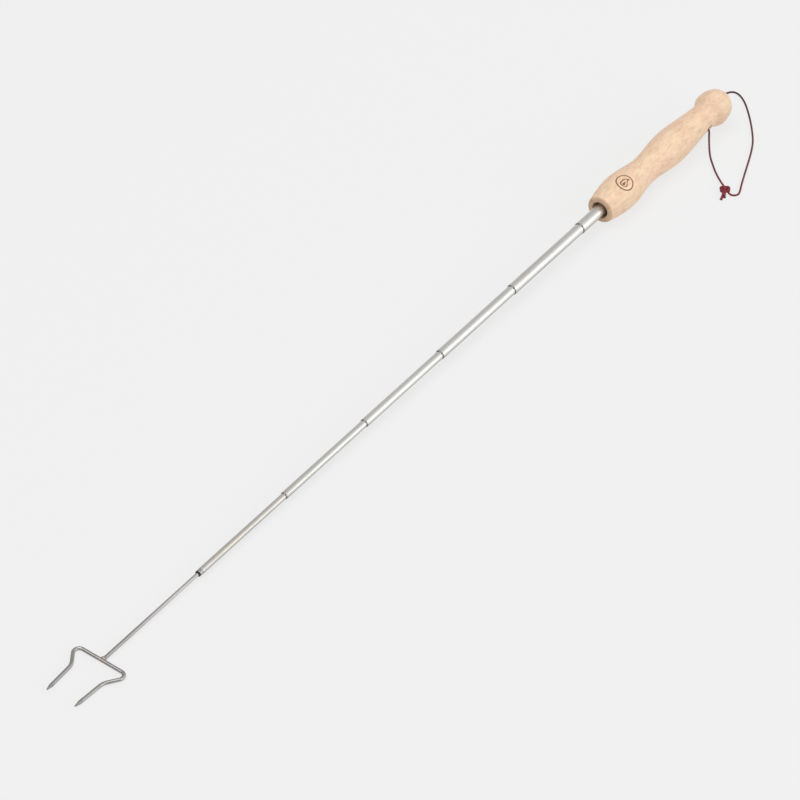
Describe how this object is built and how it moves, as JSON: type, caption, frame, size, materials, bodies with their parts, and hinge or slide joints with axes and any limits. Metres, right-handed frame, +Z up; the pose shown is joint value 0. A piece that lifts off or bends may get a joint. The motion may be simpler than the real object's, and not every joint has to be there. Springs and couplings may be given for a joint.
{
  "type": "telescopic marshmallow roasting fork",
  "caption": "Telescopic campfire roasting fork with a turned wooden handle, nested steel tubes, a welded two-prong wire head and a cord loop to hang it by",
  "frame": {"origin": "The centre of the flat that ends the handle's knob.", "axes": "+X runs along the shaft from the handle's end to the prong tips, +Z is up as the fork lies on a table and the two prongs lie in the XY plane, with +Y on the side where the cord's loop lies."},
  "size_m": [0.8786, 0.0929, 0.0349],
  "materials": {
    "wood": "turned and lightly waxed beech",
    "steel_tube": "drawn stainless tube, satin",
    "steel_wire": "stainless wire, satin",
    "weld_steel": "heat tinted weld",
    "leaf_bronze": "sprung bronze sheet",
    "black_plastic": "matte",
    "cord": "twisted dark red cord"
  },
  "bodies": {
    "handle_grip": {"handle": "wood", "outer_tube": "steel_tube", "rear_plug": "black_plastic", "cord_loop": "cord", "cord_knot": "cord"},
    "slider_2": {"leaf_2_upper": "leaf_bronze", "leaf_2_lower": "leaf_bronze"},
    "section_2": {"tube_2": "steel_tube"},
    "slider_3": {"leaf_3_upper": "leaf_bronze", "leaf_3_lower": "leaf_bronze"},
    "section_3": {"tube_3": "steel_tube"},
    "slider_4": {"leaf_4_upper": "leaf_bronze", "leaf_4_lower": "leaf_bronze"},
    "section_4": {"tube_4": "steel_tube"},
    "slider_5": {"leaf_5_upper": "leaf_bronze", "leaf_5_lower": "leaf_bronze"},
    "section_5": {"tube_5": "steel_tube"},
    "slider_6": {"leaf_6_upper": "leaf_bronze", "leaf_6_lower": "leaf_bronze"},
    "section_6": {"tube_6": "steel_tube", "rod_bush": "black_plastic"},
    "slider_7": {"leaf_7_upper": "leaf_bronze", "leaf_7_lower": "leaf_bronze"},
    "fork": {"rod": "steel_wire", "rod_slider": "steel_wire", "weld_bead": "weld_steel", "prong_wire": "steel_wire"}
  },
  "joints": [
    {"name": "slide_2", "type": "slide", "parent": "handle_grip", "child": "slider_2", "axis": [1, 0, 0], "range_m": [-0.0944, 0]},
    {"name": "spin_2", "type": "hinge", "parent": "slider_2", "child": "section_2", "pos_m": [0.2102, 0, 0], "axis": [1, 0, 0], "continuous": true},
    {"name": "slide_3", "type": "slide", "parent": "section_2", "child": "slider_3", "axis": [1, 0, 0], "range_m": [-0.0944, 0]},
    {"name": "spin_3", "type": "hinge", "parent": "slider_3", "child": "section_3", "pos_m": [0.3056, 0, 0], "axis": [1, 0, 0], "continuous": true},
    {"name": "slide_4", "type": "slide", "parent": "section_3", "child": "slider_4", "axis": [1, 0, 0], "range_m": [-0.0944, 0]},
    {"name": "spin_4", "type": "hinge", "parent": "slider_4", "child": "section_4", "pos_m": [0.401, 0, 0], "axis": [1, 0, 0], "continuous": true},
    {"name": "slide_5", "type": "slide", "parent": "section_4", "child": "slider_5", "axis": [1, 0, 0], "range_m": [-0.0944, 0]},
    {"name": "spin_5", "type": "hinge", "parent": "slider_5", "child": "section_5", "pos_m": [0.4964, 0, 0], "axis": [1, 0, 0], "continuous": true},
    {"name": "slide_6", "type": "slide", "parent": "section_5", "child": "slider_6", "axis": [1, 0, 0], "range_m": [-0.0944, 0]},
    {"name": "spin_6", "type": "hinge", "parent": "slider_6", "child": "section_6", "pos_m": [0.5918, 0, 0], "axis": [1, 0, 0], "continuous": true},
    {"name": "slide_7", "type": "slide", "parent": "section_6", "child": "slider_7", "axis": [1, 0, 0], "range_m": [-0.0938, 0]},
    {"name": "spin_7", "type": "hinge", "parent": "slider_7", "child": "fork", "pos_m": [0.6872, 0, 0], "axis": [1, 0, 0], "continuous": true}
  ]
}
